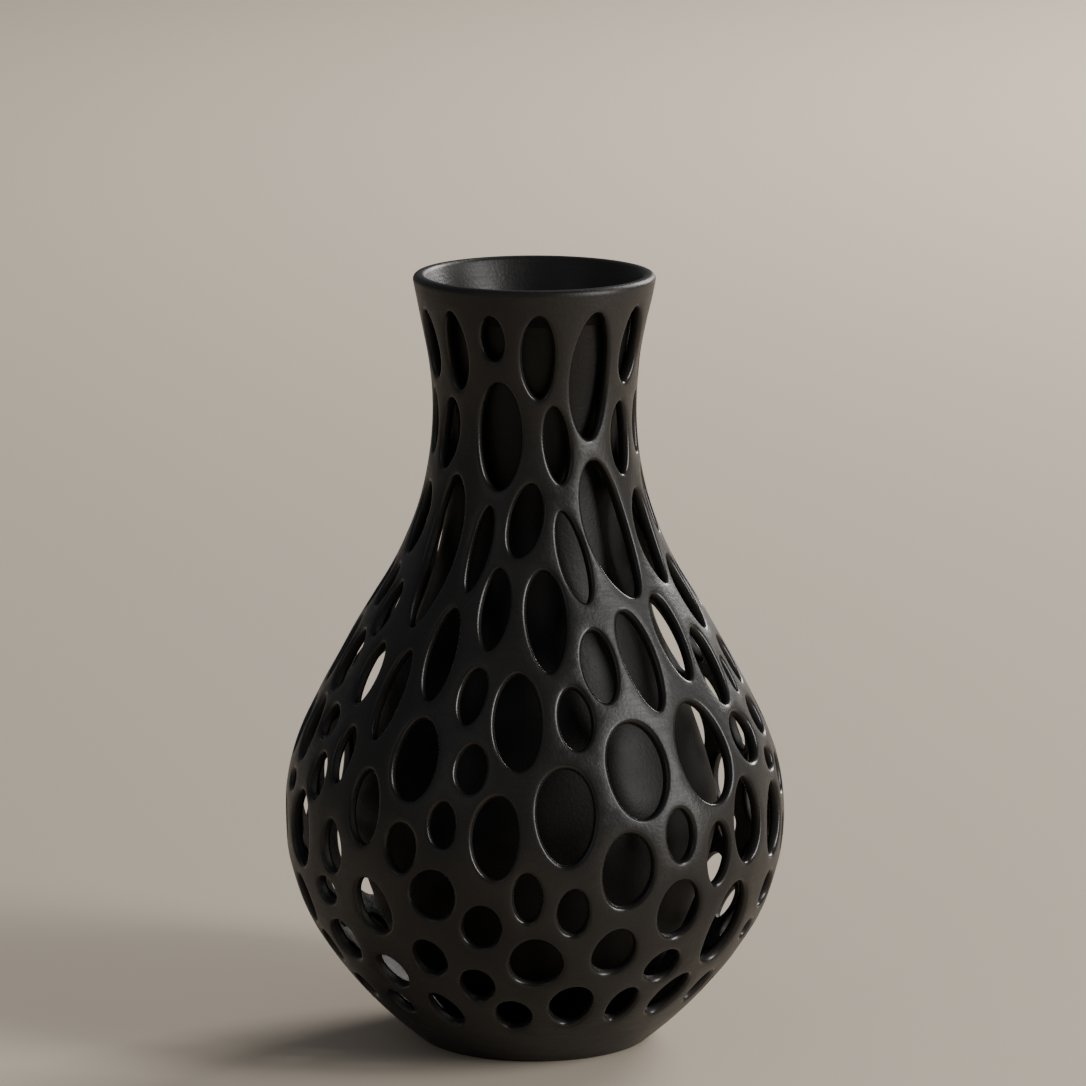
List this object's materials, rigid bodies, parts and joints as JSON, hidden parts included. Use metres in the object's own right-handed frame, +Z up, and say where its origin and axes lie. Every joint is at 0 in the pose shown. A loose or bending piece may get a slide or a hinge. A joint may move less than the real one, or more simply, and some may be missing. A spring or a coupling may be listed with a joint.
{
  "type": "openwork double-walled vase",
  "caption": "Double-walled burnished black clay vase: a plain inner vessel inside an outer wall cut all over with oval openings, joined at a rounded rim and a flat foot.",
  "frame": {"origin": "centre of the foot's flat underside, on the vase's axis", "axes": "+Z up along the vase's axis, towards the mouth; -Y towards the viewer at the front"},
  "size_m": [0.1944, 0.1944, 0.3],
  "materials": {
    "outer_clay": "burnished satin black, smoke fired",
    "inner_clay": "smoothed matt black, smoke fired"
  },
  "bodies": {
    "root": {"foot": "outer_clay", "outer_bowl": "outer_clay", "outer_shoulder": "outer_clay", "outer_neck": "outer_clay", "rim_ring": "outer_clay", "vessel_bowl": "inner_clay", "vessel_neck": "inner_clay"}
  },
  "joints": []
}
